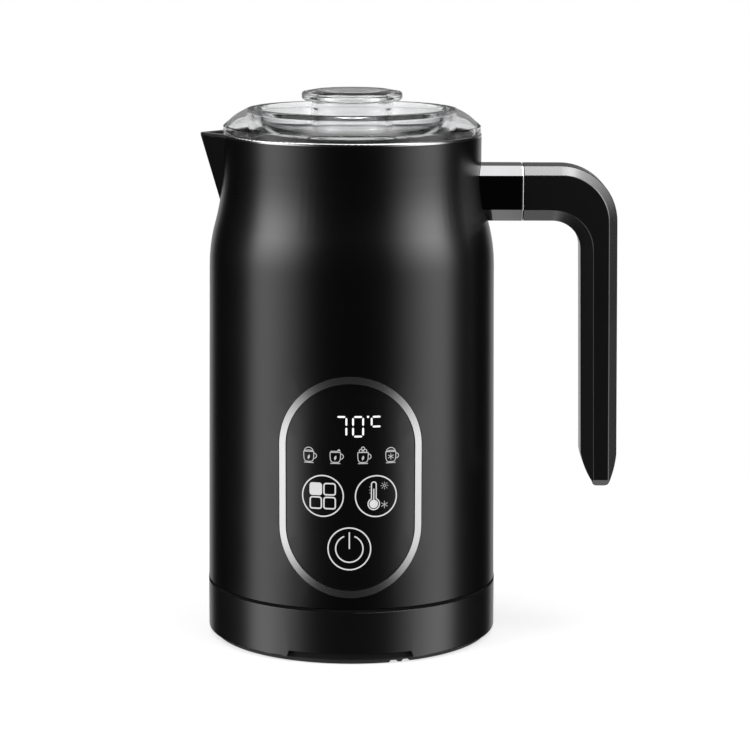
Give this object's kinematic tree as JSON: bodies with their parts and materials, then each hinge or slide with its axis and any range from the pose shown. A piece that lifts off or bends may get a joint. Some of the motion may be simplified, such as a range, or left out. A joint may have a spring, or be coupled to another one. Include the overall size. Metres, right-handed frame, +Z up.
{
  "type": "electric milk frother",
  "caption": "Electric milk frother: satin black jug with beak spout, side handle, touch panel and clear knobbed lid, heated and stirred by a magnetic whisk, on a round power base.",
  "frame": {"origin": "on the jug's axis at table level, the centre of the foot ring's lower face", "axes": "+Z up; the touch panel faces -Y, the handle points to +X and the beak spout to -X"},
  "size_m": [0.1535, 0.1105, 0.2017],
  "materials": {
    "satin_black_paint": "satin",
    "satin_black_plastic": "satin",
    "matte_black_plastic": "matte",
    "black_grip": "semi-gloss",
    "gloss_black_lens": "gloss",
    "clear_lid": "clear",
    "black_rubber": "matte",
    "black_nonstick": "satin",
    "polished_steel": "polished",
    "brushed_steel": "brushed",
    "chrome_ferrule": "mirror",
    "silver_trim": "satin",
    "cast_aluminium": "cast",
    "zinc_steel": "plated",
    "brass_contact": "polished",
    "green_board": "satin",
    "pale_plastic": "satin",
    "whisk_plastic": "satin",
    "magnet": "plated"
  },
  "bodies": {
    "power_base": {"base_housing": "satin_black_plastic", "base_bottom_plate": "matte_black_plastic", "foot_ring": "black_rubber", "base_screws": "zinc_steel", "base_plug": "matte_black_plastic", "base_contacts": "brass_contact", "cord_gland": "black_rubber"},
    "jug": {"jug_shell": "satin_black_paint", "rim_ring": "polished_steel", "inner_pot": "black_nonstick", "whisk_pivot": "brushed_steel", "jug_bottom_cover": "matte_black_plastic", "jug_socket": "matte_black_plastic", "jug_contacts": "brass_contact", "control_board": "green_board", "motor": "zinc_steel", "motor_bracket": "pale_plastic", "motor_screws": "zinc_steel", "bracket_screws": "zinc_steel", "heater_plate": "cast_aluminium", "heater_element": "brushed_steel", "temperature_sensor": "brass_contact", "thermal_cutout": "pale_plastic", "panel_bezel": "silver_trim", "panel_lens": "gloss_black_lens", "panel_carrier": "matte_black_plastic", "display_board": "green_board", "digit_display": "pale_plastic", "icon_lamps": "pale_plastic", "touch_pads": "brass_contact", "handle_bracket": "zinc_steel", "handle_ferrule": "chrome_ferrule", "handle_grip": "black_grip", "handle_screw": "zinc_steel"},
    "drive": {"motor_shaft": "zinc_steel", "magnet_carrier": "pale_plastic", "drive_magnets": "magnet"},
    "whisk": {"whisk_hub": "whisk_plastic", "whisk_magnets": "magnet", "whisk_coil": "polished_steel"},
    "lid": {"lid_cover": "clear_lid", "lid_knob": "clear_lid", "lid_gasket": "black_rubber"}
  },
  "joints": [
    {"name": "jug_lift", "type": "slide", "parent": "power_base", "child": "jug", "axis": [0, 0, 1], "range_m": [0, 0.06]},
    {"name": "drive_spin", "type": "hinge", "parent": "jug", "child": "drive", "pos_m": [0, 0, 0.09], "axis": [0, 0, 1], "continuous": true},
    {"name": "whisk_spin", "type": "hinge", "parent": "jug", "child": "whisk", "pos_m": [0, 0, 0.1003], "axis": [0, 0, 1], "continuous": true},
    {"name": "lid_lift", "type": "slide", "parent": "jug", "child": "lid", "axis": [0, 0, 1], "range_m": [0, 0.09]}
  ],
  "couplings": [
    {"joint": "whisk_spin", "follows": "drive_spin", "ratio": 1}
  ]
}
